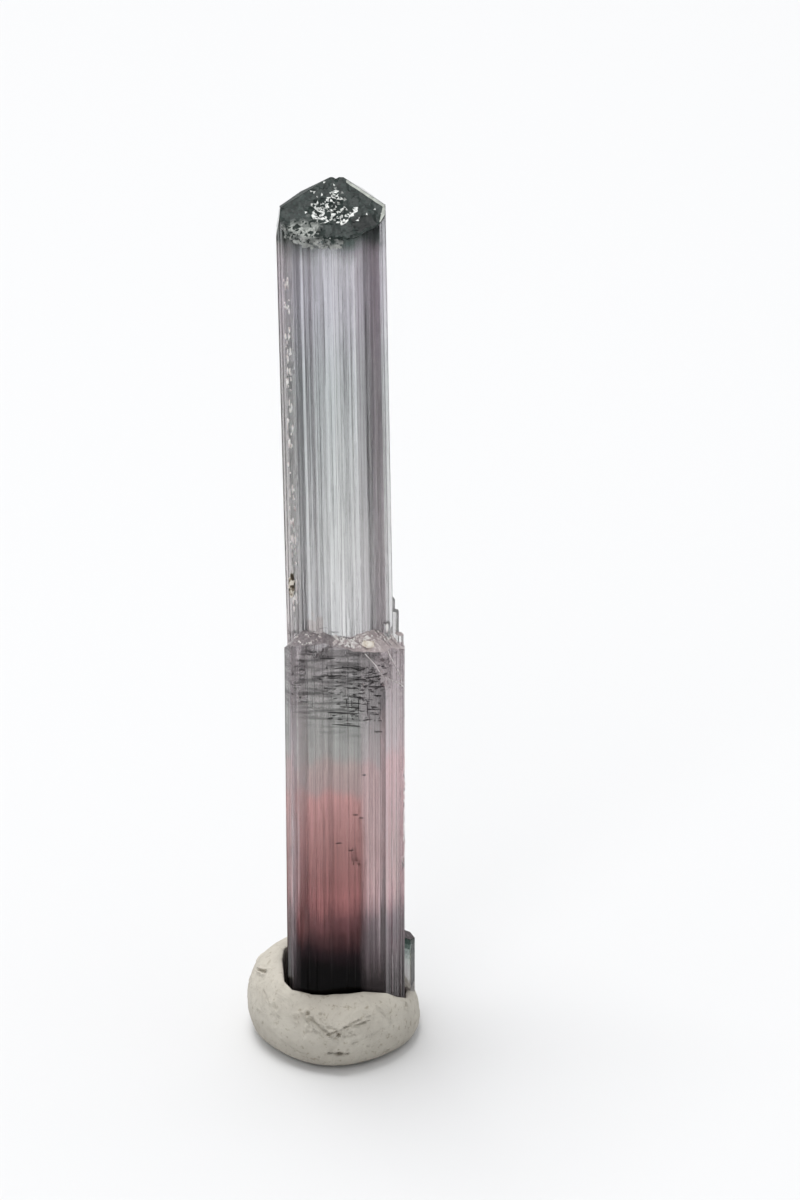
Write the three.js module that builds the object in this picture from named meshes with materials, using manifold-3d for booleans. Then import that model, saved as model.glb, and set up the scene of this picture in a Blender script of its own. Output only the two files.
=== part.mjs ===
// An elbaite tourmaline crystal that stands upright in a pressed lump of grey mounting putty.
// Millimetres, +Z up, -Y towards the viewer. The origin is the centre of the putty's flat resting face.
// Azimuths are in degrees, 0 at the front (-Y) and 90 at the right (+X).
import * as THREE from "three";
import { mergeVertices } from "three/addons/utils/BufferGeometryUtils.js";
import Module from "manifold-3d";

const wasm = await Module();
wasm.setup();

// Heights above the resting face.
const FOOT = 1.5;
const LEDGE = 32.4;
const APEX = 63.05;

// The slim upper prism: its axis leans a little to the left, and its sides are a trigonal set of faces,
// each given by the azimuth it faces and its distance from the axis.
const UPPER_START = 22;
const UPPER_AXIS_AT_LEDGE = 0.5;
const UPPER_LEAN = -0.0156;
const UPPER_FACES = [
  [0, 3.13], [30, 3.46], [60, 3.77], [90, 3.5], [120, 3.1], [150, 3.42],
  [180, 3.66], [210, 3.45], [240, 3.15], [270, 3.49], [300, 3.75], [330, 3.47],
];

// The stouter lower prism, a later jacket around the same axis with one broad front face.
const LOWER_AXIS = 0.84;
const LOWER_FACES = [
  [0, 4.2], [60, 4.42], [90, 3.94], [120, 3.7], [150, 3.9],
  [180, 4.0], [210, 3.9], [240, 3.72], [270, 3.96], [300, 5.166],
];
const LEDGE_HEIGHTS = [
  [0, 31.7], [10, 31.5], [30, 31.45], [40, 31.4], [63, 30.5], [98, 29.4], [124, 29.2], [145, 29.9],
  [165, 29.2], [180, 29.8], [210, 28.7], [235, 29.4], [252, 28.2], [275, 28.1], [300, 30.6], [318, 31.9],
  [343, 32.4], [352, 32], [360, 31.7],
];
const LEDGE_RAGGEDNESS = 0.16;

// Lengthwise ribs of the prism faces.
const RIB_WIDTH = 0.46;
const RIB_DEPTH = 0.075;
const RISER = 0.03;

// The blunt pyramid on top ends in a short ridge towards the back. Each of its faces is given by the
// azimuth that it faces, its tilt from level and the end of the ridge that it passes through.
const RIDGE_Y = 1.2;
const RIDGE_LEFT = 0;
const RIDGE_RIGHT = 0.85;
const FRONT_TILT = 28.5;
const TOP_FACES = [
  { azimuth: 0, tilt: FRONT_TILT, x: RIDGE_LEFT },
  { azimuth: 120, tilt: 38.5, x: RIDGE_RIGHT },
  { azimuth: 180, tilt: 46, x: RIDGE_LEFT },
  { azimuth: 240, tilt: 35, x: RIDGE_LEFT },
];
const BEVEL_TILT = 81.5;
const BEVEL_FROM = 60.1;
const CLEFT_X = 0.38;
const CLEFT_SIZE = 0.3;
const HILLOCKS = 54;

// Putty: a rounded lump pressed around the foot. Its profile is radius and height before the rim is raised.
const PUTTY_PROFILE = [
  [0, 0], [4.5, 0], [5, 0.25], [5.55, 0.9], [5.9, 1.8], [6, 2.8],
  [5.95, 3.6], [5.65, 4.4], [5.1, 4.85], [4.4, 5], [0, 5],
];
const PUTTY_HEIGHT = 5;
const PUTTY_SIDES = 44;
const RIM_HEIGHTS = [
  [0, 5.3], [25, 5.4], [40, 5.4], [55, 4.7], [68, 4], [85, 3.1], [100, 2.9], [125, 3.2], [155, 3.9],
  [190, 4.8], [225, 5.5], [262, 5.9], [285, 5.9], [315, 5.6], [340, 5.3], [360, 5.3],
];
const PUTTY_LUMP = 0.14;
const GAP = 0.3;

// The slim dark crystal grown against the right side, just above the putty.
const SIDE_CRYSTAL = { x: 4.87, y: 0.4, radius: 0.62, foot: 3.5, top: 7.4, topTilt: 24 };

// Splinters that stand above the ledge: place, radius, top and turn.
const SPLINTERS = [
  { x: 4.15, y: -0.65, radius: 0.27, top: 32.7, turn: 12 },
  { x: 4.42, y: -1.2, radius: 0.3, top: 31.3, turn: 34 },
  { x: 3.8, y: 1.3, radius: 0.36, top: 32.6, turn: 20 },
  { x: 3.6, y: -2.2, radius: 0.26, top: 32.6, turn: 5 },
  { x: -1.5, y: 3.1, radius: 0.34, top: 31.6, turn: 41 },
];

// Chips broken out of the edges: centre, size along x, y and z, lean to the right and turn.
// The first is the long shell-shaped scar that crosses the front right edge under the ledge.
const CHIPS = [
  { at: [3.85, -4.45, 29.95], size: [0.95, 0.85, 2.7], lean: -37, turn: 35 },
  { at: [5.05, -2.05, 20.9], size: [0.42, 0.5, 0.6], lean: 0, turn: 10 },
  { at: [5.12, -1.95, 17.4], size: [0.42, 0.5, 2.7], lean: 0, turn: 5 },
  { at: [5.05, -2.1, 14.35], size: [0.48, 0.55, 0.45], lean: 10, turn: 35 },
  { at: [3.75, -4.4, 25.2], size: [0.3, 0.3, 0.8], lean: 5, turn: 0 },
  { at: [-3.0, -4.35, 27.9], size: [0.35, 0.3, 0.7], lean: 0, turn: 15 },
  { at: [-3.35, -2.2, 28.6], size: [0.3, 0.9, 0.8], lean: 12, turn: 25 },
  { at: [4.75, 2.0, 24.5], size: [0.5, 0.6, 0.9], lean: 15, turn: 30 },
  { at: [1.9, 4.25, 13.5], size: [0.6, 0.5, 1.1], lean: 0, turn: 15 },
  { at: [-2.7, 2.9, 21.4], size: [0.5, 0.5, 1.4], lean: 20, turn: 40 },
  { at: [-1.3, 4.2, 28.9], size: [0.9, 0.7, 0.8], lean: 5, turn: 10 },
];
const WORN_EDGE_CHIPS = 16;
const WORN_EDGE_SPAN = [34.5, 58.4];

// Bits of other minerals: a grain of albite bedded on the ledge, and clay in a pit of the left edge.
// The crystal clears each of them by a hair.
const ALBITE = { at: [2.4, -3.68, 31.86], size: [0.44, 0.3, 0.27], lean: 0, turn: 25 };
const CLAY = { at: [-2.62, -2.3, 35.4], size: [0.2, 0.2, 0.85], lean: 0, turn: 0 };
const CRUMB_CLEARANCE = 0.09;

// A repeatable source of small irregularities.
let seed = 20261;
function random(low, high) {
  seed = (seed * 1664525 + 1013904223) % 4294967296;
  return low + ((high - low) * seed) / 4294967296;
}

function facing(azimuth) {
  const angle = THREE.MathUtils.degToRad(azimuth);
  return new THREE.Vector2(Math.sin(angle), -Math.cos(angle));
}

function azimuthOf(x, y) {
  const angle = THREE.MathUtils.radToDeg(Math.atan2(x, -y));
  return (angle + 360) % 360;
}

// The value at an azimuth of a list of azimuths and values, straight between its entries.
function around(list, azimuth) {
  const next = list.findIndex(([a]) => a >= azimuth);
  if (next < 1) return list[Math.max(next, 0)][1];
  const [a, low] = list[next - 1];
  const [b, high] = list[next];
  return low + ((high - low) * (azimuth - a)) / (b - a);
}

// Where the lines of two neighbouring faces cross.
function corner([azimuthA, a], [azimuthB, b]) {
  const m = facing(azimuthA);
  const n = facing(azimuthB);
  const cross = m.x * n.y - m.y * n.x;
  return new THREE.Vector2((a * n.y - b * m.y) / cross, (b * m.x - a * n.x) / cross);
}

// The corners of a section, anticlockwise from above, with every face moved out by grow.
function section(faces, grow = 0) {
  const grown = faces.map(([azimuth, distance]) => [azimuth, distance + grow]);
  return grown.map((face, i) => corner(grown.at(i - 1), face));
}

// The section with each face split into flat ribs that lie at slightly different depths.
function ribbed(corners, faces) {
  const outline = [];
  corners.forEach((start, i) => {
    const end = corners[(i + 1) % corners.length];
    const length = start.distanceTo(end);
    const inward = facing(faces[i][0]).negate();
    const ribs = Math.max(1, Math.round(length / RIB_WIDTH));
    let place = 0;
    let depth = 0;
    for (let rib = 0; rib < ribs; rib++) {
      const last = rib === ribs - 1;
      const width = last ? 1 - place : (1 / ribs) * random(0.65, 1.35);
      const from = place + RISER;
      place = last ? 1 : Math.min(place + width, 1 - 2 * RISER);
      depth = rib === 0 || last ? 0 : random(0.25, 1) * RIB_DEPTH;
      for (const share of last ? [from] : [from, place]) {
        outline.push(start.clone().lerp(end, share).addScaledVector(inward, depth));
      }
    }
  });
  return outline;
}

function prism(outline, bottom, top) {
  const geometry = new THREE.ExtrudeGeometry(new THREE.Shape(outline), {
    depth: top - bottom,
    bevelEnabled: false,
    steps: 1,
  });
  return geometry.translate(0, 0, bottom);
}

// Moves every vertex with a function that changes a Vector3 in place.
function reshape(geometry, change) {
  const position = geometry.getAttribute("position");
  const point = new THREE.Vector3();
  for (let i = 0; i < position.count; i++) {
    point.fromBufferAttribute(position, i);
    change(point);
    position.setXYZ(i, point.x, point.y, point.z);
  }
  return geometry;
}

function solid(geometry) {
  const bare = new THREE.BufferGeometry();
  const loose = geometry.index ? geometry.toNonIndexed() : geometry;
  bare.setAttribute("position", loose.getAttribute("position"));
  const merged = mergeVertices(bare, 1e-4);
  const mesh = new wasm.Mesh({
    numProp: 3,
    vertProperties: merged.getAttribute("position").array,
    triVerts: new Uint32Array(merged.index.array),
  });
  return new wasm.Manifold(mesh);
}

function geometryOf(manifold) {
  const mesh = manifold.getMesh();
  const geometry = new THREE.BufferGeometry();
  geometry.setAttribute("position", new THREE.BufferAttribute(mesh.vertProperties, 3));
  geometry.setIndex(new THREE.BufferAttribute(mesh.triVerts, 1));
  const flat = geometry.toNonIndexed();
  flat.computeVertexNormals();
  return flat;
}

// A large block whose underside is a plane through a point, tilted down towards an azimuth.
function blockAbove(point, azimuth, tilt) {
  const block = new THREE.BoxGeometry(60, 60, 30).translate(0, 0, 15);
  block.rotateX(THREE.MathUtils.degToRad(tilt));
  block.rotateZ(THREE.MathUtils.degToRad(azimuth));
  return block.translate(...point);
}

function chip({ at, size, lean, turn }, detail) {
  const lump = new THREE.IcosahedronGeometry(1, detail).scale(...size);
  lump.rotateY(THREE.MathUtils.degToRad(lean));
  lump.rotateZ(THREE.MathUtils.degToRad(turn));
  return lump.translate(...at);
}

function upperAxisX(z) {
  return UPPER_AXIS_AT_LEDGE + UPPER_LEAN * (z - LEDGE);
}

// The slim upper prism with its pyramid.
function upperPrism() {
  const outline = ribbed(section(UPPER_FACES), UPPER_FACES);
  const geometry = prism(outline, UPPER_START, APEX + 1);
  reshape(geometry, (p) => (p.x += upperAxisX(p.z)));
  let made = solid(geometry);
  for (const { azimuth, tilt, x } of TOP_FACES) {
    made = made.subtract(solid(blockAbove([x, RIDGE_Y, APEX], azimuth, tilt)));
  }
  const left = upperAxisX(BEVEL_FROM) - UPPER_FACES[9][1];
  return made.subtract(solid(blockAbove([left, 0, BEVEL_FROM], 270, BEVEL_TILT)));
}

// Low three-sided hillocks crowd the front top face.
function addHillocks(body) {
  const tilt = THREE.MathUtils.degToRad(FRONT_TILT);
  const slope = Math.tan(tilt);
  let made = body;
  for (let i = 0; i < HILLOCKS; i++) {
    const down = 0.7 + 3.3 * Math.sqrt(random(0, 1));
    const x = CLEFT_X + random(-0.72, 0.68) * down;
    const radius = random(0.17, 0.34);
    const hillock = new THREE.ConeGeometry(radius, radius * 0.95, 3);
    hillock.rotateX(Math.PI / 2);
    hillock.rotateZ(random(0, 2));
    hillock.rotateX(tilt);
    hillock.translate(x, RIDGE_Y - down, APEX - slope * down + 0.2 * radius);
    made = made.add(solid(hillock));
  }
  return made;
}

// The jacket. Its ragged top follows the ledge heights.
function lowerPrism() {
  const outline = ribbed(section(LOWER_FACES), LOWER_FACES);
  const heights = new Map();
  const geometry = prism(outline, FOOT, LEDGE);
  reshape(geometry, (p) => {
    if (p.z < LEDGE - 1) return;
    const key = `${p.x.toFixed(3)} ${p.y.toFixed(3)}`;
    if (!heights.has(key)) {
      const ragged = random(-1, 1) * LEDGE_RAGGEDNESS;
      heights.set(key, around(LEDGE_HEIGHTS, azimuthOf(p.x, p.y)) + ragged);
    }
    p.z = heights.get(key);
  });
  return solid(geometry.translate(LOWER_AXIS, 0, 0));
}

function splinter({ x, y, radius, top, turn }) {
  const foot = LEDGE - 7;
  const shaft = new THREE.CylinderGeometry(radius, radius, top - foot, 6);
  shaft.rotateX(Math.PI / 2);
  shaft.rotateZ(THREE.MathUtils.degToRad(turn));
  const body = solid(shaft.translate(x, y, (top + foot) / 2));
  return body.subtract(solid(blockAbove([x, y, top - 0.08], 90 - turn, turn / 2)));
}

function sideCrystal() {
  const { x, y, radius, foot, top, topTilt } = SIDE_CRYSTAL;
  const shaft = new THREE.CylinderGeometry(radius, radius, top - foot, 6).rotateX(Math.PI / 2);
  const body = solid(shaft.translate(x, y, (top + foot) / 2));
  return body.subtract(solid(blockAbove([x, y, top - 0.25], 90, topTilt)));
}

// Small chips along the worn edge at the front left of the upper prism.
function wornEdgeChips() {
  const edge = section(UPPER_FACES)[11];
  const [low, high] = WORN_EDGE_SPAN;
  const chips = [];
  for (let i = 0; i < WORN_EDGE_CHIPS; i++) {
    const z = low + ((i + random(0.2, 0.8)) / WORN_EDGE_CHIPS) * (high - low);
    const at = [edge.x + upperAxisX(z) - random(0.02, 0.1), edge.y - random(0.02, 0.1), z];
    chips.push({ at, size: [0.2, 0.2, random(0.25, 0.75)], lean: random(-6, 6), turn: random(0, 40) });
  }
  return chips;
}

function crystal() {
  let made = addHillocks(upperPrism()).add(lowerPrism()).add(sideCrystal());
  for (const each of SPLINTERS) {
    made = made.add(splinter(each));
  }
  CHIPS.forEach((each, i) => {
    made = made.subtract(solid(chip(each, i === 0 ? 2 : 1)));
  });
  for (const each of wornEdgeChips()) {
    made = made.subtract(solid(chip(each, 0)));
  }
  const cleft = new THREE.BoxGeometry(CLEFT_SIZE, 9, CLEFT_SIZE).rotateY(Math.PI / 4);
  made = made.subtract(solid(cleft.translate(CLEFT_X, RIDGE_Y, APEX + 0.02)));
  for (const crumb of [ALBITE, CLAY]) {
    const size = crumb.size.map((length) => length + CRUMB_CLEARANCE);
    made = made.subtract(solid(chip({ ...crumb, size }, 1)));
  }
  return made;
}

// The lump of putty, its socket cut to the crystal's foot with a small gap.
function putty() {
  const profile = PUTTY_PROFILE.map(([radius, height]) => new THREE.Vector2(radius, height));
  const lump = new THREE.LatheGeometry(profile, PUTTY_SIDES).rotateX(Math.PI / 2);
  reshape(lump, (p) => {
    const azimuth = azimuthOf(p.x, p.y);
    const turn = THREE.MathUtils.degToRad(azimuth);
    const radius = Math.hypot(p.x, p.y);
    const share = p.z / PUTTY_HEIGHT;
    const bulge = Math.sin(Math.PI * Math.min(1, share * 1.2));
    const lumps = 0.5 * Math.sin(3 * turn + 0.7) + 0.6 * Math.sin(5 * turn + 6 * share) + Math.cos(2 * turn);
    const scale = radius > 0.01 ? 1 + (PUTTY_LUMP * bulge * lumps) / radius : 1;
    p.x *= scale;
    p.y *= scale;
    p.z = share * (radius > 0.01 ? around(RIM_HEIGHTS, azimuth) : PUTTY_HEIGHT);
  });
  const socket = prism(section(LOWER_FACES, GAP), FOOT - GAP, 12).translate(LOWER_AXIS, 0, 0);
  return solid(lump).subtract(solid(socket));
}

function piece(name, geometry, look) {
  const mesh = new THREE.Mesh(geometry, new THREE.MeshStandardMaterial(look));
  mesh.name = name;
  return mesh;
}

const part = new THREE.Group();
part.add(
  piece("crystal", geometryOf(crystal()), {
    color: 0xb3a9ad, roughness: 0.15, metalness: 0, transparent: true, opacity: 0.75,
  }),
);
part.add(piece("mounting_putty", geometryOf(putty()), { color: 0xb8b3a8, roughness: 0.85, metalness: 0 }));
part.add(
  piece("albite_grain", chip(ALBITE, 1), { color: 0xd9cfba, roughness: 0.7, metalness: 0 }),
);
part.add(piece("clay_speck", chip(CLAY, 1), { color: 0x6d5a41, roughness: 0.9, metalness: 0 }));

export default part;
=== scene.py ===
import bmesh
import bpy
import math
import random
from bisect import bisect_right
from mathutils import Euler, Matrix, Vector, noise


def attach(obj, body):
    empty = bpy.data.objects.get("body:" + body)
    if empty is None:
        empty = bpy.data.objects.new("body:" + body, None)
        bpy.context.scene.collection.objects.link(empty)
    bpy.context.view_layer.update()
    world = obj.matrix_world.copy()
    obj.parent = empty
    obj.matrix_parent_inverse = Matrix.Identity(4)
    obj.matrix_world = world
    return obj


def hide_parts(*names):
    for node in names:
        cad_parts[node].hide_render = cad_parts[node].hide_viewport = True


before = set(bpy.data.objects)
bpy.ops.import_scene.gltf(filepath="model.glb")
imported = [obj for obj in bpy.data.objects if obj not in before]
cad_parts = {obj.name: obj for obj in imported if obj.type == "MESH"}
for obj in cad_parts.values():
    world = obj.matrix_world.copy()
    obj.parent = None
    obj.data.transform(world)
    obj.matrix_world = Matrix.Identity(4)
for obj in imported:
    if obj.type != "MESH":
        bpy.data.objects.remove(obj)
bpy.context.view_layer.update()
MM = 0.001

# The viewpoint: the camera looks down on the crystal from the front at 28 degrees, from 0.4 m away,
# with a long lens. It aims a little to the right of the crystal and at half its height.
CAMERA_RISE = math.radians(28)
CAMERA_DISTANCE = 0.4
CAMERA_AIM = Vector((4.47, 0, 33.1)) * MM
CAMERA_LENS = 272.7
camera_data = bpy.data.cameras.new("camera")
camera_data.sensor_fit = "HORIZONTAL"
camera_data.sensor_width = 36
camera_data.lens = CAMERA_LENS
camera = bpy.data.objects.new("camera", camera_data)
bpy.context.collection.objects.link(camera)
camera.location = CAMERA_AIM + CAMERA_DISTANCE * Vector((0, -math.cos(CAMERA_RISE), math.sin(CAMERA_RISE)))
camera.rotation_euler = Euler((math.pi / 2 - CAMERA_RISE, 0, 0))
bpy.context.scene.camera = camera

# Mounting putty: a lump of soft grey display putty, rolled in the fingers and pressed round the foot of
# the crystal, so it has a thick lip, a flat underside and the creases, pits and prints of handling.
# All lengths below are in millimetres. Azimuths are in degrees, 0 at the front and 90 at the right.
LOWER_AXIS = 0.84
LOWER_FACES = [
    (0, 4.2), (60, 4.42), (90, 3.94), (120, 3.7), (150, 3.9),
    (180, 4.0), (210, 3.9), (240, 3.72), (270, 3.96), (300, 5.166),
]
PUTTY_RIM = [
    (0, 5.3), (12, 5.35), (25, 5.5), (40, 5.3), (52, 4.4), (68, 3.5), (85, 3.0), (100, 2.9), (125, 3.2),
    (155, 3.9), (190, 4.8), (225, 5.5), (262, 5.9), (285, 5.9), (315, 5.9), (328, 5.6), (341, 5.25),
    (352, 5.2), (360, 5.3),
]
PUTTY_SOCKET_GAP = [
    (0, 0.03), (60, 0.04), (90, 0.12), (150, 0.1), (215, 0.15), (255, 0.25), (285, 0.35), (310, 0.2),
    (330, 0.06), (360, 0.03),
]
PUTTY_RADIUS = 6.0
PUTTY_SOCKET_FLOOR = 1.35
PUTTY_TURNS = 440
PUTTY_STEPS = [(3, 6), (9, 150), (3, 14)]
INSIDE_OF_LIP = 0.78

# A crease runs from one place to another, each an azimuth and a height, and has a width and a depth. A pit
# has an azimuth, a height, a radius and a depth.
PUTTY_CREASES = [
    ((-16, 4.1), (-2, 3.05), 0.08, 0.085), ((-4, 3.1), (16, 4.0), 0.07, 0.08),
    ((2, 3.55), (21, 3.75), 0.06, 0.06), ((16, 4.0), (30, 4.2), 0.06, 0.06),
    ((-9, 3.75), (-4, 3.3), 0.05, 0.05), ((12, 3.55), (27, 3.9), 0.05, 0.05),
    ((-19, 3.5), (-9, 3.15), 0.05, 0.05), ((4, 2.75), (12, 3.3), 0.05, 0.05),
    ((-4, 3.6), (8, 3.45), 0.07, 0.05), ((-22, 4.3), (-12, 3.3), 0.06, 0.04),
    ((0, 2.75), (13, 3.05), 0.06, 0.05), ((12, 2.4), (34, 2.9), 0.05, 0.03),
    ((-3, 1.75), (9, 1.65), 0.09, 0.1), ((-60, 4.6), (-38, 3.4), 0.08, 0.04),
    ((30, 4.7), (41, 3.1), 0.05, 0.03), ((-82, 5.0), (-70, 5.4), 0.08, 0.16),
    ((-50, 2.2), (-20, 1.4), 0.06, 0.03), ((95, 1.6), (150, 2.2), 0.08, 0.05),
    ((165, 3.2), (215, 2.3), 0.09, 0.06), ((182, 2.2), (201, 3.9), 0.06, 0.05),
    ((230, 1.7), (262, 3.3), 0.08, 0.05), ((112, 2.5), (128, 1.4), 0.06, 0.05),
]
PUTTY_PITS = [
    (4.5, 3.05, 0.42, 0.07), (3.2, 3.12, 0.12, 0.16), (3.6, 1.7, 0.2, 0.12), (-18, 4.35, 0.15, 0.12),
    (-26, 3.9, 0.2, 0.05), (58, 3.6, 0.14, 0.13), (-44, 4.1, 0.22, 0.08), (-9, 4.4, 0.1, 0.07),
    (22, 2.0, 0.12, 0.05), (140, 2.4, 0.2, 0.1), (205, 3.0, 0.25, 0.1), (248, 4.2, 0.18, 0.09),
]
PUTTY_FINE_PITS = 130
CREASE_STRENGTH = 2
MARK_REACH_ROUND = 6
MARK_REACH_UP = 2.5


def around(table, azimuth):
    """The value of a table at an azimuth, straight between its entries."""
    azimuth %= 360
    for (a, low), (b, high) in zip(table, table[1:]):
        if a <= azimuth <= b:
            return low + (high - low) * (azimuth - a) / (b - a)
    return table[0][1]


def facing(azimuth):
    angle = math.radians(azimuth)
    return Vector((math.sin(angle), -math.cos(angle), 0))


def azimuth_of(x, y):
    return math.degrees(math.atan2(x, -y)) % 360


def reach(faces, azimuth):
    """How far the outline of a many-sided prism lies from its axis along an azimuth."""
    best = 1e9
    for side, distance in faces:
        share = math.cos(math.radians(azimuth - side))
        if share > 0.1:
            best = min(best, distance / share)
    return best


def loose_object(name, bm):
    """An object in metres from a bmesh in millimetres."""
    bmesh.ops.scale(bm, verts=bm.verts, vec=(MM, MM, MM))
    mesh = bpy.data.meshes.new(name)
    bm.to_mesh(mesh)
    bm.free()
    made = bpy.data.objects.new(name, mesh)
    bpy.context.collection.objects.link(made)
    return made


def finish_mesh(name, bm, body, slot, *nodes, smooth=True):
    """Turns a bmesh into a finished piece, with its body and the CAD nodes that it replaces; slot is not
    used.
    """
    piece = loose_object(name, bm)
    piece.data.polygons.foreach_set("use_smooth", [smooth] * len(piece.data.polygons))
    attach(piece, body)
    if nodes:
        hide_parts(*nodes)
    return piece


def along_curve(points, share):
    """A point on the smooth curve through a list of points, at a share of its spans."""
    spans = len(points) - 1
    place = min(share * spans, spans - 1e-6)
    i = int(place)
    t = place - i
    a = Vector(points[max(i - 1, 0)])
    b = Vector(points[i])
    c = Vector(points[i + 1])
    d = Vector(points[min(i + 2, spans)])
    bend = (2 * a - 5 * b + 4 * c - d) * t + (3 * b - a - 3 * c + d) * t * t
    return 0.5 * (2 * b + (c - a + bend) * t)


def putty_section(azimuth):
    """Radius and height of the putty's section at an azimuth, from under the middle up and in again."""
    centre = Vector((LOWER_AXIS, 0, 0))
    out = facing(azimuth)
    side = reach(LOWER_FACES, azimuth_of(*(out * 5 - centre).xy))
    inner = side + around(PUTTY_SOCKET_GAP, azimuth) + centre.dot(out)
    turn = math.radians(azimuth)
    lumps = 0.5 * math.sin(3 * turn + 0.7) + 0.5 * math.sin(5 * turn + 2) + math.cos(2 * turn)
    outer = PUTTY_RADIUS + 0.12 * lumps
    rim = around(PUTTY_RIM, azimuth)
    lip = outer - inner
    return [
        (0, 0), (2.1, 0), (4, 0), (0.745 * outer, 0.01), (0.865 * outer, 0.045 * rim),
        (0.955 * outer, 0.14 * rim), (outer, 0.37 * rim), (0.975 * outer, 0.62 * rim),
        (inner + 0.71 * lip, 0.84 * rim), (inner + 0.38 * lip, 0.965 * rim), (inner + 0.1 * lip, rim),
        (inner, 0.94 * rim), (inner - 0.02, 0.62 * rim), (inner - 0.05, PUTTY_SOCKET_FLOOR),
        (0.5 * inner, PUTTY_SOCKET_FLOOR), (0, PUTTY_SOCKET_FLOOR),
    ]


def distance_to_segment(point, start, end):
    line = end - start
    share = max(0, min(1, (point - start).dot(line) / line.length_squared))
    return (point - start - line * share).length


def flat_spot(azimuth, height):
    """A place on the putty's outside, unrolled to millimetres."""
    return Vector((math.radians((azimuth + 180) % 360 - 180) * PUTTY_RADIUS, height))


def putty_relief(azimuth, height, marks):
    """How far the creases and pits lower the putty's outside at a place."""
    spot = flat_spot(azimuth, height)
    wander = 0.12 * noise.noise(Vector((spot.x * 1.3, spot.y * 1.3, 4)))
    down = 0
    for kind, start, end, width, depth in marks:
        if abs(spot.y - start.y) > MARK_REACH_UP or abs(spot.x - start.x) > MARK_REACH_ROUND:
            continue
        away = distance_to_segment(spot, start, end) if kind == "crease" else (spot - start).length
        away = abs(away + wander) if kind == "crease" else away
        if away < 3 * width:
            share = away / width
            raised = 0.75 * math.exp(-((share - 1.6) ** 2) * 2)
            down += CREASE_STRENGTH * depth * (math.exp(-share * share) - raised)
    return down


random.seed(11)
putty_marks = [("crease", flat_spot(*a), flat_spot(*b), width, depth) for a, b, width, depth in PUTTY_CREASES]
putty_marks += [("pit", flat_spot(a, h), None, radius, depth) for a, h, radius, depth in PUTTY_PITS]
for _ in range(PUTTY_FINE_PITS):
    place = flat_spot(random.uniform(-180, 180), random.uniform(0.8, 5))
    size = random.uniform(0.04, 0.075) * random.choice((1, 1, 1, 1.8))
    putty_marks.append(("pit", place, None, size, size * random.uniform(0.2, 0.7)))
shares = []
spans_done = 0
all_spans = sum(spans for spans, steps in PUTTY_STEPS)
for spans, steps in PUTTY_STEPS:
    shares += [(spans_done + spans * step / steps) / all_spans for step in range(steps)]
    spans_done += spans
shares.append(1)
bm = bmesh.new()
profile = [bm.verts.new((1 + step, 0, 0)) for step in range(len(shares))]
for lower, upper in zip(profile, profile[1:]):
    bm.edges.new((lower, upper))
bmesh.ops.spin(
    bm, geom=bm.verts[:] + bm.edges[:], cent=(0, 0, 0), axis=(0, 0, 1),
    angle=2 * math.pi, steps=PUTTY_TURNS, use_merge=True,
)
sections = {}
for vert in bm.verts:
    step = round(math.hypot(vert.co.x, vert.co.y)) - 1
    azimuth = azimuth_of(vert.co.x, vert.co.y)
    key = round(azimuth, 3)
    if key not in sections:
        sections[key] = putty_section(azimuth)
    radius, height = along_curve(sections[key], shares[step])
    out = facing(azimuth)
    spot = out * radius + Vector((0, 0, height))
    if radius < 0.01:
        vert.co = spot
        continue
    lump = 0.1 * noise.noise(spot * 0.42) + 0.05 * noise.noise(spot * 1.3)
    lump += 0.018 * noise.noise(spot * 3.4) + 0.008 * noise.noise(spot * 9)
    outside = min(1, max(0, height - 0.15) * 2) * min(1, max(0, radius - 3.6))
    if shares[step] > INSIDE_OF_LIP:
        outside *= 0.3
    elif outside > 0:
        lump -= putty_relief(azimuth, height, putty_marks)
    vert.co = spot + (out * 0.8 + Vector((0, 0, 0.35))) * lump * outside
bmesh.ops.remove_doubles(bm, verts=bm.verts, dist=1e-4)
bmesh.ops.recalc_face_normals(bm, faces=bm.faces)
putty = finish_mesh("mounting_putty_lump", bm, "root", "putty", "mounting_putty")


def new_material(name):
    material = bpy.data.materials.new(name)
    material.use_nodes = True
    return material, material.node_tree, material.node_tree.nodes["Principled BSDF"]


def set_inputs(tree, node, values):
    """Sets the inputs of a node, and links those whose value is another node's output."""
    for key, value in values.items():
        if isinstance(value, bpy.types.NodeSocket):
            tree.links.new(value, node.inputs[key])
        else:
            node.inputs[key].default_value = value


def add_node(tree, kind, values=None, **settings):
    """Adds a shader node with its properties and inputs."""
    node = tree.nodes.new(kind)
    for key, value in settings.items():
        setattr(node, key, value)
    set_inputs(tree, node, values or {})
    return node


def colour_ramp(tree, factor, stops):
    ramp = add_node(tree, "ShaderNodeValToRGB", {0: factor})
    elements = ramp.color_ramp.elements
    for i, (place, colour) in enumerate(stops):
        element = elements[i] if i < 2 else elements.new(place)
        element.position = place
        element.color = (*colour, 1)
    return ramp.outputs[0]


def object_place(tree):
    return add_node(tree, "ShaderNodeTexCoord").outputs["Object"]


def mix_colours(blend, factor, a, b):
    """Mixes two colours in the tree of the present material."""
    values = {"Factor": factor, 6: a, 7: b}
    return add_node(tree, "ShaderNodeMix", values, data_type="RGBA", blend_type=blend).outputs[2]


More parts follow.
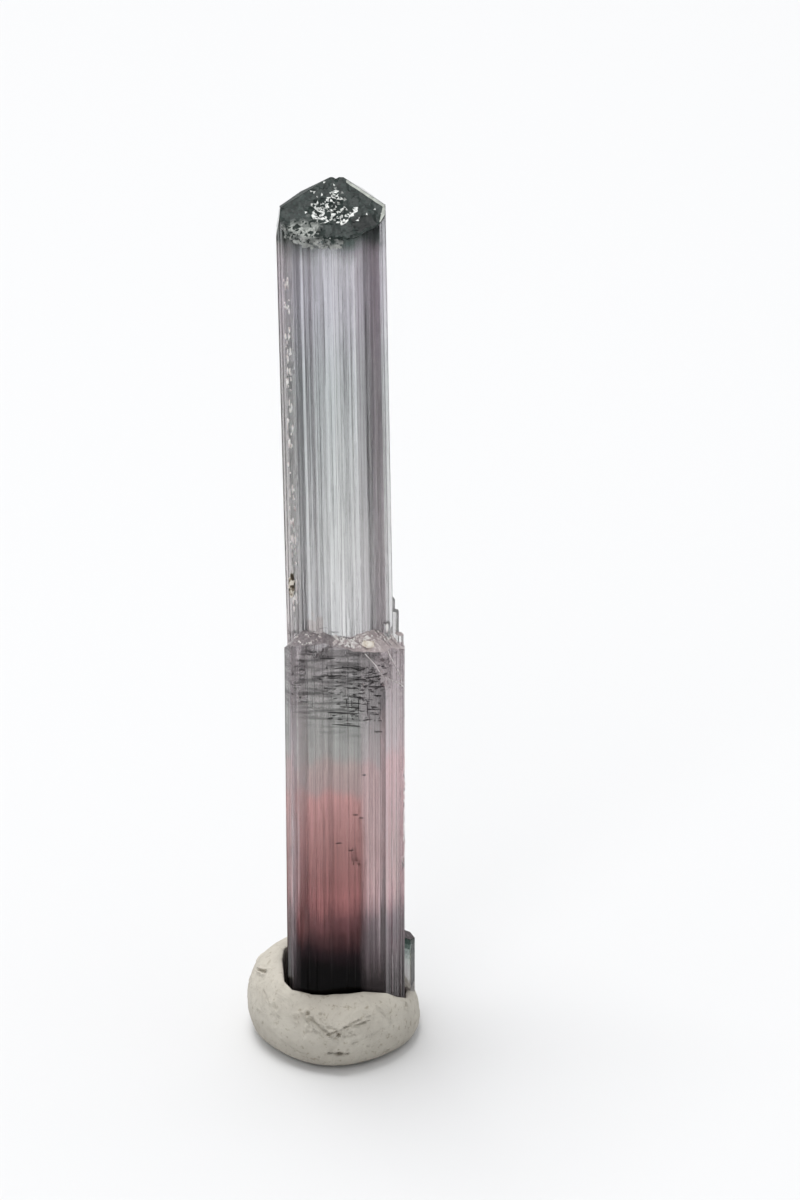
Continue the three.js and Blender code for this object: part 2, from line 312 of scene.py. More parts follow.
# The cloudy mottle that putty, broken crystal, dull faces and small grains all show, built once.
cloudy = bpy.data.node_groups.new("cloudy_mottle", "ShaderNodeTree")
cloudy.interface.new_socket("Cloud", in_out="OUTPUT", socket_type="NodeSocketFloat")
cloud_from = cloudy.nodes.new("NodeGroupInput")
cloud = add_node(cloudy, "ShaderNodeTexNoise", {"Vector": object_place(cloudy)})
for name in ("Scale", "Detail", "Roughness", "Distortion"):
    cloudy.interface.new_socket(name, in_out="INPUT", socket_type="NodeSocketFloat")
    cloudy.links.new(cloud_from.outputs[name], cloud.inputs[name])
cloudy.links.new(cloud.outputs[0], cloudy.nodes.new("NodeGroupOutput").inputs["Cloud"])


def mottle(tree, scale, detail, roughness=0.5, distortion=0):
    """Places the shared mottle in a material with values of its own."""
    values = {"Scale": scale, "Detail": detail, "Roughness": roughness, "Distortion": distortion}
    return add_node(tree, "ShaderNodeGroup", values, node_tree=cloudy).outputs["Cloud"]


def mottled_material(name, scale, detail, roughness, stops, gloss=0.5):
    """A plain opaque material whose colour is the mottle through a ramp."""
    material, tree, shader = new_material(name)
    tint = colour_ramp(tree, mottle(tree, scale, detail), stops)
    set_inputs(tree, shader, {"Base Color": tint, "Roughness": roughness, "Specular IOR Level": gloss})
    return material


# Below this height the putty's colour is painted darker, as painted shade towards the floor.
SHADE_PAINTED_BELOW = 4.6

material, tree, shader = new_material("grey_mounting_putty")
tint = colour_ramp(tree, mottle(tree, 420, 5, 0.6), [(0.3, (0.5, 0.468, 0.41)), (0.72, (0.63, 0.597, 0.525))])
specks = colour_ramp(tree, mottle(tree, 2600, 3, 0.6), [(0.3, (0.7, 0.67, 0.62)), (0.42, (1, 1, 1))])
# Painted shade and light: the putty's colour darkens towards the bottom and lightens a little near the top.
above_floor = add_node(tree, "ShaderNodeSeparateXYZ", {0: object_place(tree)}).outputs["Z"]
lift = add_node(tree, "ShaderNodeMapRange", {"Value": above_floor, "From Max": SHADE_PAINTED_BELOW * MM}).outputs[0]
painted_shade_by_height = colour_ramp(tree, lift, [
    (0, (0.68, 0.67, 0.66)), (0.6, (0.97, 0.97, 0.97)), (1, (1.06, 1.05, 1.04)),
])
tint = mix_colours("MULTIPLY", 1.0, tint, specks)
tint = mix_colours("MULTIPLY", 1.0, tint, painted_shade_by_height)
grain = mottle(tree, 5200, 4, 0.65)
fine = add_node(tree, "ShaderNodeBump", {"Strength": 0.7, "Distance": 0.00006, "Height": grain})
prints = mottle(tree, 1100, 3, distortion=1.2)
coarse = {"Strength": 0.8, "Distance": 0.00022, "Height": prints, "Normal": fine.outputs[0]}
bump = add_node(tree, "ShaderNodeBump", coarse)
set_inputs(tree, shader, {
    "Base Color": tint, "Normal": bump.outputs[0], "Roughness": 0.82, "Specular IOR Level": 0.3,
})
putty.data.materials.append(material)

# Tourmaline: one crystal that grew in two spells. A slim upper prism with many lengthwise ribs and a
# blunt dark green top rises out of a stouter jacket, which stops at a broken ledge. Small splinters and
# a slim dark crystal grew on with it. It stands in the putty's socket.
FOOT = 1.5
LEDGE = 32.4
TOP = 63.05
ROUGH_TOP = TOP + 1.5
UPPER_AXIS_AT_LEDGE = 0.5
UPPER_LEAN = -0.0156
UPPER_FACES = [
    (0, 3.13), (30, 3.46), (60, 3.77), (90, 3.5), (120, 3.1), (150, 3.42),
    (180, 3.66), (210, 3.45), (240, 3.15), (270, 3.49), (300, 3.75), (330, 3.47),
]

# Round the ledge, by azimuth: the height of its rim, and its rise from there to the upper prism. A groove
# runs between two azimuths.
LEDGE_HEIGHTS = [
    (0, 31.7), (10, 31.5), (30, 31.45), (40, 31.4), (63, 30.5), (98, 29.4), (124, 29.2), (145, 29.9),
    (165, 29.2), (180, 29.8), (210, 28.7), (235, 29.4), (252, 28.2), (275, 28.1), (300, 30.6), (318, 31.9),
    (343, 32.05), (352, 31.85), (360, 31.7),
]
LEDGE_RISE = [
    (0, 0.3), (12, 0.4), (24, 0.85), (60, 1.0), (85, 0.5), (130, 0.25), (250, 0.25), (300, 0.5), (340, 0.22),
    (360, 0.3),
]
LEDGE_SHELVES = (0.25, 0.5, 0.75)
RIB_WIDTHS = (1.3, 6.5)
RIB_WALLS = (0.15, 0.5)
UPPER_RIB_DEPTH = 0.085
LOWER_RIB_DEPTH = 0.05
GROOVES = [(298.2, 299.6), (318.6, 319.3), (328.2, 329.4), (334.7, 336.2), (40.4, 41.2), (48.3, 49.1)]
GROOVE_WALL = 0.2
GROOVE_DEPTH = 2.4
LEVEL_STEP = 0.3

# The blunt top ends in a short ridge. A top face has the azimuth that it faces, its tilt from level and the
# end of the ridge that it passes through.
RIDGE_Y = 1.2
RIDGE_LEFT = 0
RIDGE_RIGHT = 0.85
FRONT_TILT = 28.5
TOP_FACES = [
    (0, FRONT_TILT, RIDGE_LEFT), (120, 38.5, RIDGE_RIGHT), (180, 46, RIDGE_LEFT), (240, 35, RIDGE_LEFT),
]
BEVEL_TILT = 81.5
BEVEL_FROM = 60.1
CLEFT_X = 0.38
CLEFT_SIZE = 0.3

# A chip has its middle, its three sizes, its lean and its turn. A splinter has x, y, a radius, a top and a
# turn, and the side crystal has x, y, a radius, a foot, a top, a turn and a tilt.
SHELL_SCAR = ((3.85, -4.45, 29.95), (0.95, 0.85, 2.7), -37, 35)
EDGE_CHIPS = [
    SHELL_SCAR,
    ((5.05, -2.05, 20.9), (0.42, 0.5, 0.6), 0, 10), ((5.12, -1.95, 17.4), (0.42, 0.5, 2.7), 0, 5),
    ((5.05, -2.1, 14.35), (0.48, 0.55, 0.45), 10, 35), ((3.75, -4.4, 25.2), (0.3, 0.3, 0.8), 5, 0),
    ((-3.0, -4.35, 27.9), (0.35, 0.3, 0.7), 0, 15), ((-3.35, -2.2, 28.6), (0.3, 0.9, 0.8), 12, 25),
    ((4.75, 2.0, 24.5), (0.5, 0.6, 0.9), 15, 30), ((1.9, 4.25, 13.5), (0.6, 0.5, 1.1), 0, 15),
    ((-2.7, 2.9, 21.4), (0.5, 0.5, 1.4), 20, 40), ((-1.3, 4.2, 28.9), (0.9, 0.7, 0.8), 5, 10),
]
WORN_EDGE_CHIPS = 44
WORN_EDGE_SPAN = (34.5, 58.6)
WORN_EDGE_AZIMUTH = 315
WORN_EDGE_REACH = 3.72
SPLINTERS = [
    (4.15, -0.65, 0.27, 32.7, 12), (4.42, -1.2, 0.3, 31.3, 34), (3.8, 1.3, 0.36, 32.6, 20),
    (3.6, -2.2, 0.26, 32.6, 5), (-1.5, 3.1, 0.34, 31.6, 41),
]
SPLINTER_FOOT = 25
SIDE_CRYSTAL = (4.87, 0.4, 0.62, 1.9, 7.4, 30, 24)
SLIVER_BEVEL = 0.03
SLIVER_EDGE_TURN = 0.3
SHARP_ANGLE = 9

# Each face and stripe of the prism has a tone of its own: partly the crystal's own tint and partly painted
# light and shade for the way each face bends the light. A band starts at an azimuth, and has a colour and a
# strength with which its ribs differ from each other.
UPPER_BANDS = [
    (0, (0.88, 0.89, 0.88), 0.3), (21.3, (1.1, 1.1, 1.1), 0.1), (25.5, (0.42, 0.39, 0.4), 0.8),
    (42.5, (0.32, 0.26, 0.28), 0.8), (54, (1.15, 1.15, 1.15), 0.1), (57, (1.12, 1.1, 1.1), 0.5),
    (92.2, (0.75, 0.7, 0.72), 0.7), (118, (0.6, 0.55, 0.58), 0.8), (145.3, (0.8, 0.8, 0.82), 0.4),
    (172.1, (0.92, 0.93, 0.94), 0.35), (188.6, (0.75, 0.74, 0.75), 0.7), (215.3, (0.55, 0.5, 0.52), 0.8),
    (245, (0.7, 0.66, 0.68), 0.8), (265.7, (0.72, 0.68, 0.68), 0.5), (292.5, (0.6, 0.53, 0.52), 0.5),
    (306.7, (0.66, 0.63, 0.61), 0.5), (316, (0.63, 0.64, 0.65), 1.0), (328.2, (0.45, 0.45, 0.46), 0.9),
    (338, (0.7, 0.73, 0.73), 0.5), (347, (0.84, 0.86, 0.86), 0.4),
]
LOWER_BANDS = [
    (0, (1.0, 1.0, 1.0), 0.4), (17.5, (0.78, 0.8, 0.79), 0.5), (32.4, (1.1, 1.02, 1.05), 0.3),
    (62.8, (1.05, 0.97, 1.0), 0.4), (98.2, (0.95, 0.88, 0.9), 0.5), (140.5, (1.0, 1.0, 1.0), 0.5),
    (192.2, (0.95, 0.93, 0.93), 0.5), (219.9, (0.95, 0.9, 0.92), 0.5), (261.6, (1.0, 0.98, 0.98), 0.4),
    (311.2, (1.0, 1.02, 1.02), 0.3), (323, (1.75, 1.75, 1.75), 0.4), (328.5, (1.25, 1.25, 1.25), 0.4),
    (338, (1.1, 1.1, 1.1), 0.4),
]
BAND_EDGES = [21.3, 42.5, 57, 118, 245, 316, 338, 347, 17.5, 323]


def upper_axis(z):
    return UPPER_AXIS_AT_LEDGE + UPPER_LEAN * (z - LEDGE)


def corner_azimuths(faces):
    azimuths = []
    for (a, p), (b, q) in zip(faces[-1:] + faces, faces):
        m = facing(a)
        n = facing(b)
        cross = m.x * n.y - m.y * n.x
        azimuths.append(azimuth_of((p * n.y - q * m.y) / cross, (q * m.x - p * n.x) / cross))
    return azimuths


def make_stations():
    """Azimuths round the crystal with the rib each belongs to, and each rib's depth. Edges get rib None."""
    edges = corner_azimuths(UPPER_FACES) + corner_azimuths(LOWER_FACES) + BAND_EDGES
    edges = sorted(edges + [azimuth for groove in GROOVES for azimuth in groove])
    stations = []
    depths = []
    for start, end in zip(edges, edges[1:] + [edges[0] + 360]):
        stations.append((start, None))
        if (start, end) in GROOVES:
            stations += [(start + GROOVE_WALL, len(depths)), (end - GROOVE_WALL, len(depths))]
            depths.append(GROOVE_DEPTH)
            continue
        here = start
        while end - here > 0.8:
            width = random.uniform(*RIB_WIDTHS) * random.uniform(0.4, 1)
            there = end if end - here - width < 1.2 else here + width
            wall = min(random.uniform(*RIB_WALLS), (there - here) * 0.25)
            stations += [(here + wall, len(depths)), (there - wall, len(depths))]
            depths.append(random.random() ** 1.6)
            here = there
    return stations, depths


def chip_frame(chip, grow=1):
    """The way back from an egg-shaped chip to its own space, its place and its reach."""
    at, size, lean, turn = chip
    turned = Matrix.Rotation(math.radians(turn), 4, "Z") @ Matrix.Rotation(math.radians(lean), 4, "Y")
    shape = Matrix.Translation(at) @ turned @ Matrix.Diagonal((*(Vector(size) * grow), 1))
    return shape.inverted(), Vector(at), max(size) * grow


def chip_away(spot, axis, chips):
    """Moves a point that lies inside a chip straight towards the axis, onto the chip's wall."""
    inward = Vector((axis - spot.x, -spot.y, 0)).normalized()
    for into, at, size in chips:
        if (spot - at).length > size:
            continue
        p = into @ spot
        if p.length < 1:
            d = into.to_3x3() @ inward
            b = p.dot(d)
            spot = spot + inward * (-b + math.sqrt(b * b - d.dot(d) * (p.dot(p) - 1))) / d.dot(d)
    return spot


def crystal_point(azimuth, rib, z, lower_share):
    """A point of the ribbed side at a height: lower_share is 1 on the jacket and 0 on the upper prism."""
    out = facing(azimuth)
    depth = 0
    if rib is not None:
        waver = noise.noise(Vector((rib * 7.31, z * 0.16, 2)))
        jog = noise.noise(Vector((rib * 3.77, z * 0.05, 9)))
        depth = rib_depths[rib] * (0.75 + 0.35 * waver) + (0.02 if jog > 0.25 else 0)
    upper = Vector((upper_axis(z), 0, z)) + out * (reach(UPPER_FACES, azimuth) - UPPER_RIB_DEPTH * depth)
    lower = Vector((LOWER_AXIS, 0, z)) + out * (reach(LOWER_FACES, azimuth) - LOWER_RIB_DEPTH * min(1, depth))
    return upper.lerp(lower, lower_share)


def ledge_height(azimuth, share):
    """The height of the ledge, from its rim at share 0 to the upper prism at share 1."""
    rim = around(LEDGE_HEIGHTS, azimuth) + 0.1 * noise.noise(Vector((azimuth * 0.11, 3, 0)))
    rim += 0.07 * noise.noise(Vector((azimuth * 0.5, 5, 0)))
    crumble = 0.13 * noise.noise(Vector((azimuth * 0.3, share * 4, 7))) * math.sin(math.pi * share)
    return rim + around(LEDGE_RISE, azimuth) * share ** 1.3 + crumble


def close_ring(bm, ring, previous):
    for i, vert in enumerate(ring):
        j = (i + 1) % len(ring)
        bm.faces.new((previous[i], previous[j], ring[j], vert))


def leaning(azimuth, tilt):
    """The outward direction of a face that looks to an azimuth and is tilted from level."""
    return facing(azimuth) * math.sin(math.radians(tilt)) + Vector((0, 0, math.cos(math.radians(tilt))))


def cut_mesh(bm, point, normal, clear=True):
    """Cuts a mesh with a plane, and clears away what lies in front of it."""
    return bmesh.ops.bisect_plane(
        bm, geom=bm.verts[:] + bm.edges[:] + bm.faces[:], dist=1e-5,
        plane_co=point, plane_no=normal, clear_outer=clear,
    )


def cut_top(bm, point, normal):
    """Cuts everything in front of a plane away and closes the cut with one flat face."""
    cut = cut_mesh(bm, point, normal)
    rim = [part for part in cut["geom_cut"] if isinstance(part, bmesh.types.BMEdge) and part.is_boundary]
    bmesh.ops.edgeloop_fill(bm, edges=rim)


random.seed(29)
stations, rib_depths = make_stations()
worn_edge = facing(WORN_EDGE_AZIMUTH) * WORN_EDGE_REACH
chips = [chip_frame(chip) for chip in EDGE_CHIPS]
for i in range(WORN_EDGE_CHIPS):
    z = random.uniform(*WORN_EDGE_SPAN)
    at = (worn_edge.x + upper_axis(z) - random.uniform(0.02, 0.1), worn_edge.y - random.uniform(0, 0.1), z)
    size = (random.uniform(0.1, 0.22), random.uniform(0.1, 0.22), random.uniform(0.15, 0.6))
    chips.append(chip_frame((at, size, random.uniform(-8, 8), random.uniform(0, 40))))

bm = bmesh.new()
rings = []
lower_levels = round((LEDGE - FOOT) / LEVEL_STEP)
upper_levels = round((ROUGH_TOP - LEDGE) / LEVEL_STEP)
for level in range(lower_levels + 1):
    ring = []
    for azimuth, rib in stations:
        z = FOOT + (ledge_height(azimuth, 0) - FOOT) * level / lower_levels
        ring.append(chip_away(crystal_point(azimuth, rib, z, 1), LOWER_AXIS, chips))
    rings.append(ring)
for share in LEDGE_SHELVES:
    ring = []
    for azimuth, rib in stations:
        point = crystal_point(azimuth, rib, ledge_height(azimuth, share), 1 - share)
        ring.append(chip_away(point, LOWER_AXIS, chips))
    rings.append(ring)
for level in range(upper_levels + 1):
    ring = []
    for azimuth, rib in stations:
        foot = ledge_height(azimuth, 1)
        z = foot + (ROUGH_TOP - foot) * level / upper_levels
        ring.append(chip_away(crystal_point(azimuth, rib, z, 0), upper_axis(z), chips))
    rings.append(ring)
previous = None
for ring in rings:
    verts = [bm.verts.new(point) for point in ring]
    if previous:
        close_ring(bm, verts, previous)
    else:
        bm.faces.new(list(reversed(verts)))
    previous = verts
bm.faces.new(previous)
for azimuth, tilt, x in TOP_FACES:
    cut_top(bm, (x, RIDGE_Y, TOP), leaning(azimuth, tilt))
cut_top(bm, (upper_axis(BEVEL_FROM) - UPPER_FACES[9][1], 0, BEVEL_FROM), leaning(270, BEVEL_TILT))
bmesh.ops.remove_doubles(bm, verts=bm.verts, dist=1e-4)
bmesh.ops.recalc_face_normals(bm, faces=bm.faces)


def sliver_crystal(bm, x, y, radius, foot, top, turn, tilt):
    """A slim six-sided crystal with a slanting end, as new geometry in bm."""
    made = bmesh.ops.create_cone(
        bm, cap_ends=True, segments=6, radius1=radius, radius2=radius, depth=top - foot,
        matrix=Matrix.Translation((x, y, (top + foot) / 2)) @ Matrix.Rotation(math.radians(turn), 4, "Z"),
    )
    for vert in made["verts"]:
        if vert.co.z > (top + foot) / 2:
            vert.co.z -= math.tan(math.radians(tilt)) * (vert.co.x - x + radius)
    upright = {edge for vert in made["verts"] for edge in vert.link_edges if edge.calc_length() > 2 * radius}
    bmesh.ops.subdivide_edges(bm, edges=list(upright), cuts=12, use_grid_fill=False)


body = loose_object("crystal_body", bm)
bm = bmesh.new()
for x, y, radius, top, turn in SPLINTERS:
    sliver_crystal(bm, x, y, radius, SPLINTER_FOOT, top, turn, turn / 3)
sliver_crystal(bm, *SIDE_CRYSTAL)
sliver_edges = [edge for edge in bm.edges if edge.calc_face_angle(0) > SLIVER_EDGE_TURN]
bmesh.ops.bevel(
    bm, geom=sliver_edges, offset=SLIVER_BEVEL, offset_type="OFFSET", segments=1, profile=0.5,
    affect="EDGES", material=-1,
)
slivers = loose_object("slivers", bm)
bm = bmesh.new()
bmesh.ops.create_cube(bm, size=CLEFT_SIZE)
bmesh.ops.rotate(bm, verts=bm.verts, matrix=Matrix.Rotation(math.pi / 4, 3, "Y"))
bmesh.ops.scale(bm, verts=bm.verts, vec=(1, 30, 1))
bmesh.ops.translate(bm, verts=bm.verts, vec=(CLEFT_X, RIDGE_Y, TOP + 0.02))
cleft = loose_object("cleft", bm)
for operation, other in (("UNION", slivers), ("DIFFERENCE", cleft)):
    joined = body.modifiers.new(operation.lower(), "BOOLEAN")
    joined.operation = operation
    joined.solver = "EXACT"
    joined.object = other
bpy.context.view_layer.update()
grown = bpy.data.meshes.new_from_object(body.evaluated_get(bpy.context.evaluated_depsgraph_get()))
for each in (body, slivers, cleft):
    bpy.data.objects.remove(each)
grown.name = "tourmaline_crystal"
grown.polygons.foreach_set("use_smooth", [True] * len(grown.polygons))
grown.set_sharp_from_angle(angle=math.radians(SHARP_ANGLE))
crystal = bpy.data.objects.new("tourmaline_crystal", grown)
bpy.context.collection.objects.link(crystal)
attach(crystal, "root")
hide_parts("crystal")

# The tone of every face of the mesh. Its alpha says how much of the zone colours the face takes.
# JACKET_SHRED and the painted highlights on the foot have a pair of azimuths, a top and a tone. CAP_SHADE has
# azimuths, heights and a tone, SHADED_CORNER two heights, an azimuth and a strength, and FADING two heights
# and a strength.
# Painted shade: the faces in the deep grooves are painted dark.
PAINTED_GROOVE_SHADE = 0.1
RIB_TONES = (0.55, 1.3)
WALL_TONES = (0.35, 0.9, 1, 1, 1.1)
SCAR_TONE = (0.62, 0.53, 0.55, 0.3)
UPPER_ZONE_FROM = 35.4
UPPER_BASE = 0.95
FADING = (54, 36, 0.4)
SHADED_CORNER = (24.5, 27.5, 32.4, 0.6)
CAP_SHADE = (264, 345, 58.7, 60.7, (0.36, 0.39, 0.35))
SPLINTER_TONE = (0.95, 0.96, 0.94, 0)
BEVEL_TONE = (0.1, 0.11, 0.1, 0.3)
BEVEL_AZIMUTHS = (262, 303)
JACKET_SHRED = (322, 341, 33.35, (0.6, 0.54, 0.52, 0))
# Painted highlights: pale grey lines on the rib walls low on the dark foot.
FOOT_PAINTED_HIGHLIGHTS = (311, 327, 9.5, (0.13, 0.11, 0.12, 0.45))
# Painted highlight: a pale strip on the right of the top stands in for the light its slope reflects.
PAINTED_HIGHLIGHT_AZIMUTHS = (56, 100)
PALE_STRIP_FROM = 59.8
PAINTED_HIGHLIGHT_TONE = (0.6, 0.6, 0.61, 0.25)
SIDE_CRYSTAL_TONES = [
    (0, (0.54, 0.53, 0.53)), (4.8, (0.52, 0.55, 0.53)), (5.7, (0.31, 0.36, 0.34)), (6.4, (0.045, 0.07, 0.06)),
]
FROSTED_FROM = 0.3
DARK_TOP_FROM = 60.9


def band_at(bands, azimuth):
    """The last band that starts before an azimuth."""
    return [band for band in bands if band[0] <= azimuth][-1]


def slack_in(faces, axis, middle):
    """How deep inside a prism's outline a point lies."""
    away = Vector((middle.x - axis, middle.y, 0))
    return min(distance - away.dot(facing(side)) for side, distance in faces)


def tone_at(middle):
    """The colour and zone share of a face of the crystal, by its middle in millimetres."""
    low_azimuth = azimuth_of(middle.x - LOWER_AXIS, middle.y)
    above = middle.z > ledge_height(low_azimuth, 0.4)
    if not above and middle.z < 9 and slack_in(LOWER_FACES, LOWER_AXIS, middle) < -0.02:
        return (*[colour for z, colour in SIDE_CRYSTAL_TONES if z <= middle.z][-1], 0)
    if not above and (into_scar @ middle).length < 1:
        return SCAR_TONE
    if above and slack_in(UPPER_FACES, upper_axis(middle.z), middle) < -0.12:
        return SPLINTER_TONE
    azimuth = azimuth_of(middle.x - upper_axis(middle.z), middle.y) if above else low_azimuth
    # A painted highlight along the right slope of the top.
    if middle.z > PALE_STRIP_FROM and PAINTED_HIGHLIGHT_AZIMUTHS[0] < azimuth < PAINTED_HIGHLIGHT_AZIMUTHS[1]:
        return PAINTED_HIGHLIGHT_TONE
    if middle.z > PALE_STRIP_FROM and BEVEL_AZIMUTHS[0] < azimuth < BEVEL_AZIMUTHS[1]:
        return BEVEL_TONE
    ragged = noise.noise(middle * 1.9)
    first, last, top, tone = JACKET_SHRED
    if above and first < azimuth < last and middle.z < top + 0.8 * ragged:
        return tone
    # The band's tone is partly painted light and shade for the way each face bends the light.
    start, colour, contrast = band_at(UPPER_BANDS if above else LOWER_BANDS, azimuth)
    turn = (azimuth - starts[0]) % 360 + starts[0]
    here = bisect_right(starts, turn) - 1
    rib = stations[here][1]
    # Painted highlights on the walls of the ribs of the dark foot.
    first, last, top, tone = FOOT_PAINTED_HIGHLIGHTS
    if first < azimuth < last and middle.z < top and wall_tones[here] < 1:
        return tone
    if rib is not None and rib == stations[(here + 1) % len(stations)][1]:
        share = rib_tones[rib] * (1 + 0.25 * noise.noise(Vector((rib * 5.1, middle.z * 0.06, 3))))
        share = 1 if share < 0.5 and not above else share
    else:
        share = wall_tones[here]
    share = 1 + (share - 1) * contrast
    if above:
        begin, end, strength = FADING
        fading = 1 - strength * min(1, max(0, (begin - middle.z) / (begin - end)))
        colour = [channel ** fading for channel in colour]
    first, last, low, high, shade = CAP_SHADE
    if first < azimuth < last and middle.z > low:
        share_up = min(1, max(0, (middle.z - low + 0.4 * ragged) / (high - low)))
        colour = [channel * dark ** share_up for channel, dark in zip(colour, shade)]
    low, high, corner, strength = SHADED_CORNER
    if not above and azimuth < corner:
        share *= 1 - strength * min(1, max(0, (middle.z - low) / (high - low))) * azimuth / corner
    if above and middle.z < UPPER_ZONE_FROM:
        return (*(channel * share * UPPER_BASE for channel in colour), 0)
    return (*(channel * share for channel in colour), 1)


starts = [azimuth for azimuth, rib in stations]
rib_tones = [PAINTED_GROOVE_SHADE if depth == GROOVE_DEPTH else random.uniform(*RIB_TONES) for depth in rib_depths]
wall_tones = [random.choice(WALL_TONES) for _ in stations]
into_scar = chip_frame(SHELL_SCAR, 1.04)[0]
tones = grown.color_attributes.new("face_tone", "FLOAT_COLOR", "CORNER")
frosted = []
dark_top = []
for polygon in grown.polygons:
    middle = polygon.center / MM
    azimuth = azimuth_of(middle.x - LOWER_AXIS, middle.y)
    near_ledge = abs(middle.z - ledge_height(azimuth, 0.5)) < 0.9
    outside = slack_in(UPPER_FACES, upper_axis(middle.z), middle) < -0.03
    inside = slack_in(LOWER_FACES, LOWER_AXIS, middle) > 0.02
    if near_ledge and outside and inside and polygon.normal.z > FROSTED_FROM:
        frosted.append(polygon.index)
    if middle.z > DARK_TOP_FROM and polygon.normal.z > 0.5 and polygon.normal.x < 0.3:
        dark_top.append(polygon.index)
    tone = tone_at(middle)
    for corner in polygon.loop_indices:
        tones.data[corner].color = tone

# Zones of colour up the crystal, by height in millimetres, as seen through one thickness of it.
ZONES = [
    (0, (0.002, 0.001, 0.0015)), (7.3, (0.003, 0.0015, 0.002)), (8.4, (0.04, 0.018, 0.023)),
    (10.2, (0.46, 0.185, 0.185)), (14, (0.36, 0.18, 0.17)), (17.5, (0.55, 0.3, 0.29)),
    (20.3, (0.67, 0.38, 0.365)), (21.1, (0.48, 0.45, 0.44)), (23.5, (0.44, 0.455, 0.43)),
    (25, (0.43, 0.44, 0.42)), (27.5, (0.42, 0.41, 0.4)), (33.4, (0.4, 0.36, 0.375)),
    (34.2, (0.96, 0.96, 0.95)), (40, (0.87, 0.88, 0.87)), (50, (0.74, 0.77, 0.77)),
    (56, (0.9, 0.87, 0.94)), (59.2, (0.8, 0.79, 0.82)), (60.4, (0.05, 0.075, 0.062)),
    (61.2, (0.004, 0.007, 0.006)), (66, (0.003, 0.005, 0.0045)),
]
JACKET_ZONES = [
    (0, (0.05, 0.04, 0.045)), (6, (0.24, 0.19, 0.2)), (9, (0.95, 0.78, 0.83)), (14, (1.2, 1.05, 1.08)),
    (22, (0.92, 0.81, 0.84)), (28, (0.72, 0.63, 0.66)), (31, (0.66, 0.58, 0.6)),
]
ZONE_SPAN = 66
CORE_X = -0.21
CORE_RADIUS = 4.74
PARTED_SPAN = (24, 27, 31.2, 31.8)

material, tree, shader = new_material("tourmaline")
place = object_place(tree)
axes = add_node(tree, "ShaderNodeSeparateXYZ", {0: place})


def maths(operation, a, b=0.0, c=0.0):
    return add_node(tree, "ShaderNodeMath", {0: a, 1: b, 2: c}, operation=operation).outputs[0]


def stretched_noise(per_mm, per_mm_up, detail, offset):
    """Noise drawn out along the crystal, or across it when per_mm_up is the larger."""
    mapped = add_node(tree, "ShaderNodeMapping", {"Vector": place, "Location": (offset, 0, 0)})
    mapped.inputs["Scale"].default_value = (per_mm / MM, per_mm / MM, per_mm_up / MM)
    found = add_node(tree, "ShaderNodeTexNoise", {"Vector": mapped.outputs[0], "Scale": 1, "Detail": detail})
    return found.outputs[0]


def fade(value, start, end, low=0.0, high=1.0):
    """Goes from low to high as a value goes from start to end, both in millimetres."""
    spans = {"Value": value, "From Min": start * MM, "From Max": end * MM, "To Min": low, "To Max": high}
    return add_node(tree, "ShaderNodeMapRange", spans).outputs[0]


def zone_colours(zones, height):
    share = maths("DIVIDE", height, ZONE_SPAN * MM)
    return colour_ramp(tree, share, [(z / ZONE_SPAN, colour) for z, colour in zones])


ragged = maths("MULTIPLY", maths("SUBTRACT", stretched_noise(0.8, 0.1, 3, 3), 0.5), 2.2 * MM)
height = maths("ADD", axes.outputs["Z"], ragged)
core_colour = zone_colours(ZONES, height)
jacket_colour = zone_colours(JACKET_ZONES, height)
across = maths("SUBTRACT", axes.outputs["X"], CORE_X * MM)
radius = maths("SQRT", maths("ADD", maths("POWER", across, 2), maths("POWER", axes.outputs["Y"], 2)))
edge = maths("ADD", radius, maths("MULTIPLY", stretched_noise(1.2, 0.15, 2, 11), 0.35 * MM))
in_jacket = fade(edge, CORE_RADIUS + 0.05, CORE_RADIUS + 0.35)
partings = colour_ramp(tree, stretched_noise(0.45, 3.2, 4, 5), [(0.4, (0.25,) * 3), (0.56, (1.0,) * 3)])
begun = fade(axes.outputs["Z"], *PARTED_SPAN[:2])
ended = fade(axes.outputs["Z"], *PARTED_SPAN[2:], 1, 0)
parted = maths("MULTIPLY", begun, ended)
core_colour = mix_colours("MULTIPLY", parted, core_colour, partings)
colour = mix_colours("MIX", in_jacket, core_colour, jacket_colour)
tone = add_node(tree, "ShaderNodeAttribute", attribute_name="face_tone")
lengthwise = stretched_noise(7, 0.05, 3, 0)
streaks = colour_ramp(tree, lengthwise, [(0.3, (0.65,) * 3), (0.5, (1.0,) * 3), (0.75, (1.2,) * 3)])
colour = mix_colours("MULTIPLY", 1.0, colour, tone.outputs["Color"])
colour = mix_colours("MIX", tone.outputs["Alpha"], tone.outputs["Color"], colour)
colour = mix_colours("MULTIPLY", 1.0, colour, streaks)
colour.node.clamp_result = True
grooves = stretched_noise(14, 0.12, 2, 20)
ribs = add_node(tree, "ShaderNodeBump", {"Strength": 0.25, "Distance": 0.00002, "Height": grooves})
set_inputs(tree, shader, {
    "Base Color": colour, "Normal": ribs.outputs[0], "Roughness": 0.06, "IOR": 1.63,
    "Specular Tint": (0.08, 0.08, 0.08, 1), "Transmission Weight": 0.85,
})
absorption = add_node(tree, "ShaderNodeVolumeAbsorption", {"Color": (0.85, 0.85, 0.86, 1), "Density": 100})
tree.links.new(absorption.outputs[0], tree.nodes["Material Output"].inputs["Volume"])
grown.materials.clear()
grown.materials.append(material)

